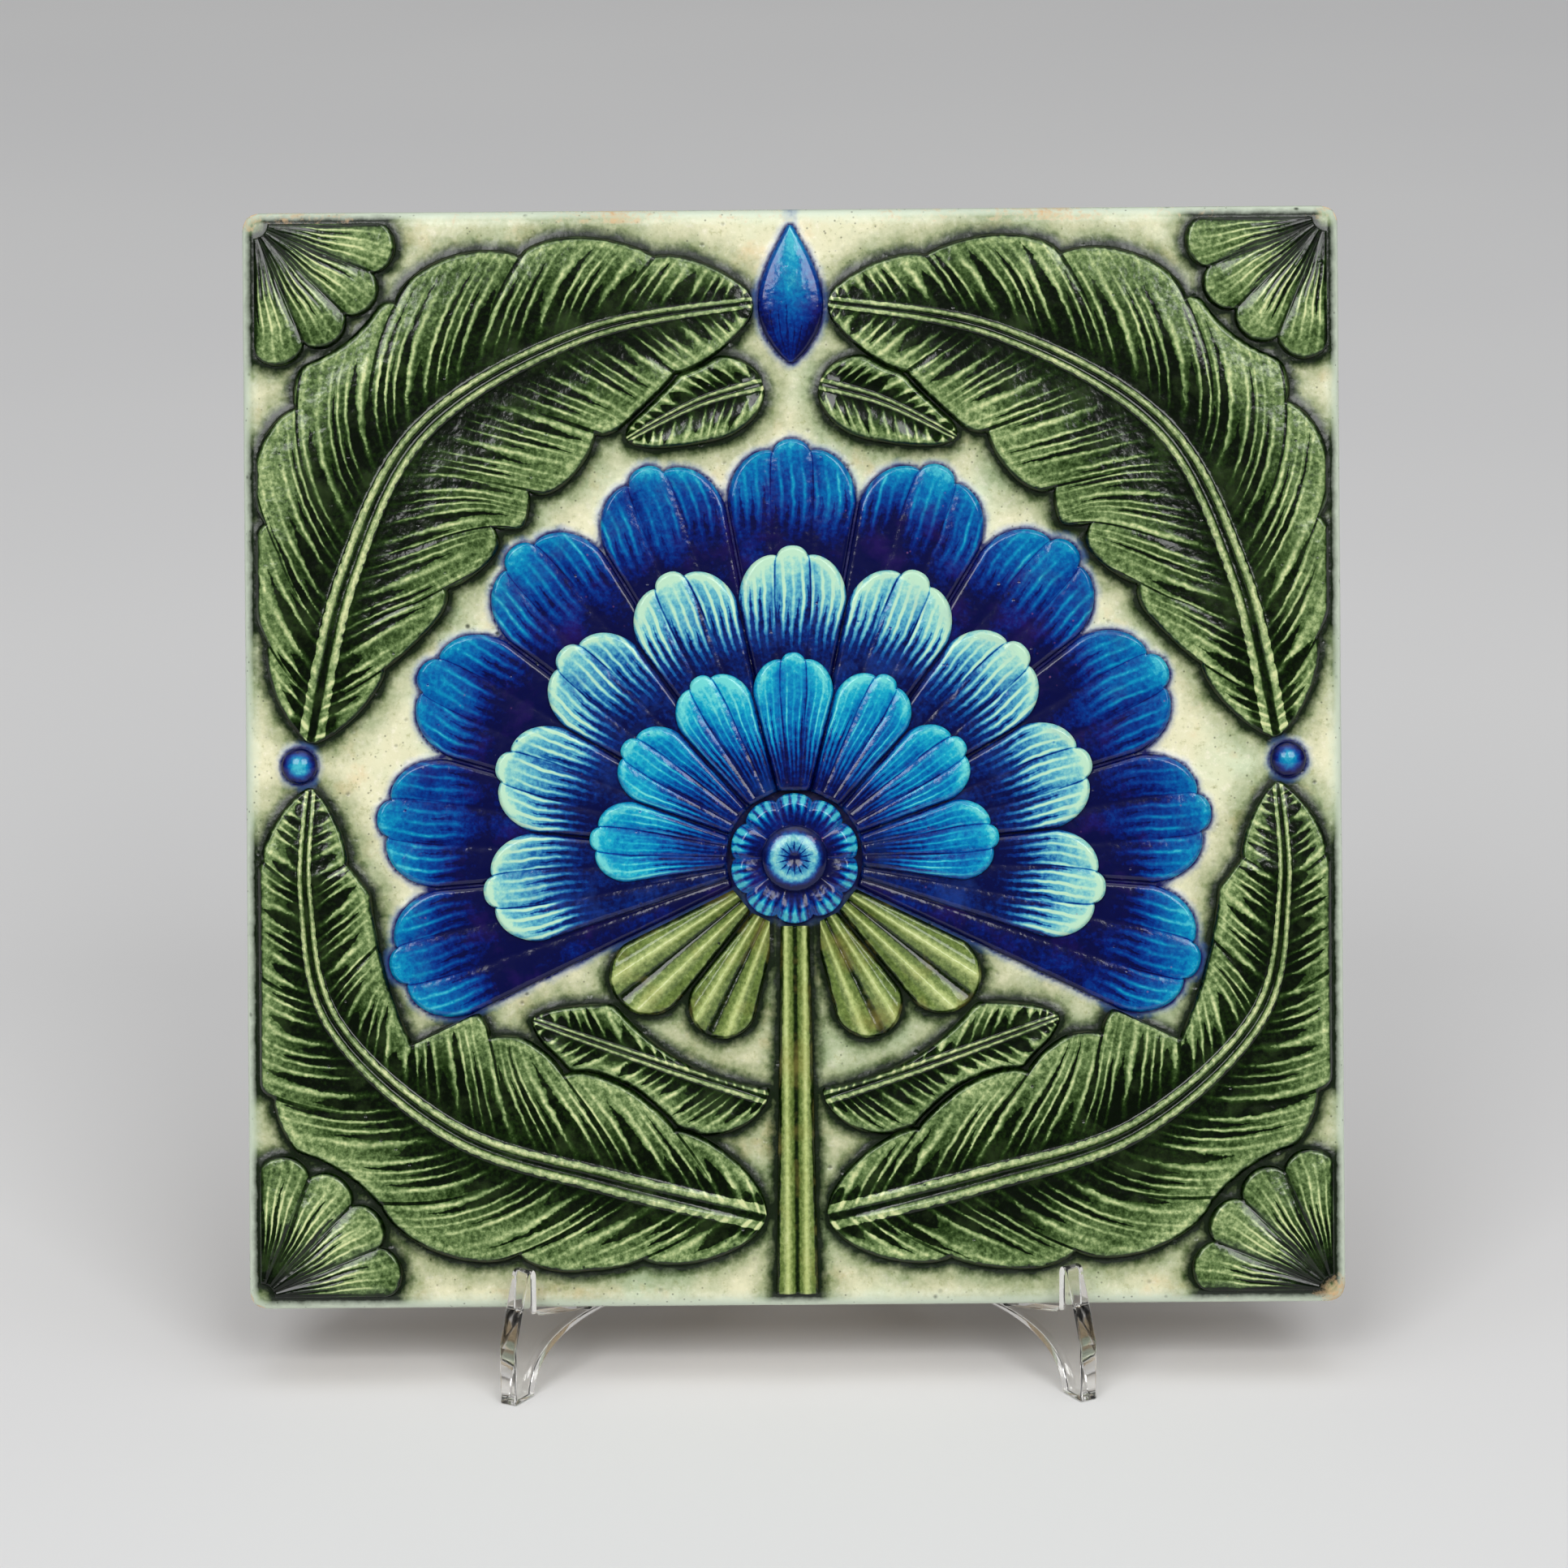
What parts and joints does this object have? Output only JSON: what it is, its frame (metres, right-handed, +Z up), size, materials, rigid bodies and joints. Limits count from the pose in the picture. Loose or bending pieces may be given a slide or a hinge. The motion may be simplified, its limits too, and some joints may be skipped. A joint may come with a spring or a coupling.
{
  "type": "ceramic relief tile on a folding stand",
  "caption": "Square relief-moulded ceramic tile with a blue fan blossom and green leaves under gloss glaze, leaning on a clear folding stand of two hinged halves.",
  "frame": {"origin": "on the surface the stand rests on, under the middle of the whole object's width and depth", "axes": "+X to the right seen from the front, -Y out of the tile's decorated face, +Z up"},
  "size_m": [0.1524, 0.0686, 0.1582],
  "materials": {
    "biscuit": "fired buff clay, matt",
    "ground_glaze": "gloss cream glaze, pitted",
    "leaf_glaze": "gloss green glaze, pooled dark in the hollows",
    "stem_glaze": "gloss pale green glaze",
    "cobalt_glaze": "gloss cobalt glaze",
    "turquoise_glaze": "gloss turquoise glaze",
    "pale_blue_glaze": "gloss pale blue glaze",
    "clear_plastic": "clear moulded plastic, polished"
  },
  "bodies": {
    "stand_left": {"stand_left": "clear_plastic", "hinge_pin": "clear_plastic"},
    "stand_right": {"stand_right": "clear_plastic"},
    "tile": {"tile_body": "biscuit", "ground_glaze": "ground_glaze", "petal_outer_01": "cobalt_glaze", "petal_outer_02": "cobalt_glaze", "petal_outer_03": "cobalt_glaze", "petal_outer_04": "cobalt_glaze", "petal_outer_05": "cobalt_glaze", "petal_outer_06": "cobalt_glaze", "petal_outer_07": "cobalt_glaze", "petal_outer_08": "cobalt_glaze", "petal_outer_09": "cobalt_glaze", "petal_outer_10": "cobalt_glaze", "petal_outer_11": "cobalt_glaze", "petal_middle_01": "pale_blue_glaze", "petal_middle_02": "pale_blue_glaze", "petal_middle_03": "pale_blue_glaze", "petal_middle_04": "pale_blue_glaze", "petal_middle_05": "pale_blue_glaze", "petal_middle_06": "pale_blue_glaze", "petal_middle_07": "pale_blue_glaze", "petal_middle_08": "pale_blue_glaze", "petal_middle_09": "pale_blue_glaze", "petal_inner_01": "turquoise_glaze", "petal_inner_02": "turquoise_glaze", "petal_inner_03": "turquoise_glaze", "petal_inner_04": "turquoise_glaze", "petal_inner_05": "turquoise_glaze", "petal_inner_06": "turquoise_glaze", "petal_inner_07": "turquoise_glaze", "blossom_heart": "cobalt_glaze", "blossom_eye": "pale_blue_glaze", "leaf_upper_left": "leaf_glaze", "small_leaf_upper_left": "leaf_glaze", "corner_rosette_upper_left": "leaf_glaze", "leaf_lower_left": "leaf_glaze", "small_leaf_lower_left": "leaf_glaze", "corner_rosette_lower_left": "leaf_glaze", "berry_left": "cobalt_glaze", "sepal_left_1": "stem_glaze", "sepal_left_2": "stem_glaze", "leaf_upper_right": "leaf_glaze", "small_leaf_upper_right": "leaf_glaze", "corner_rosette_upper_right": "leaf_glaze", "leaf_lower_right": "leaf_glaze", "small_leaf_lower_right": "leaf_glaze", "corner_rosette_lower_right": "leaf_glaze", "berry_right": "cobalt_glaze", "sepal_right_1": "stem_glaze", "sepal_right_2": "stem_glaze", "stem": "stem_glaze", "top_bud": "cobalt_glaze"}
  },
  "joints": [
    {"name": "tile_lift", "type": "slide", "parent": "stand_left", "child": "tile", "axis": [0, 0, 1], "range_m": [0, 0.15]},
    {"name": "stand_fold", "type": "hinge", "parent": "stand_left", "child": "stand_right", "pos_m": [0, 0.03072, 0], "axis": [0, 0, -1], "range_deg": [0, 61.6]}
  ],
  "couplings": [
    {"joint": "stand_fold", "follows": "tile_lift", "rad_per_m": 7.16}
  ]
}
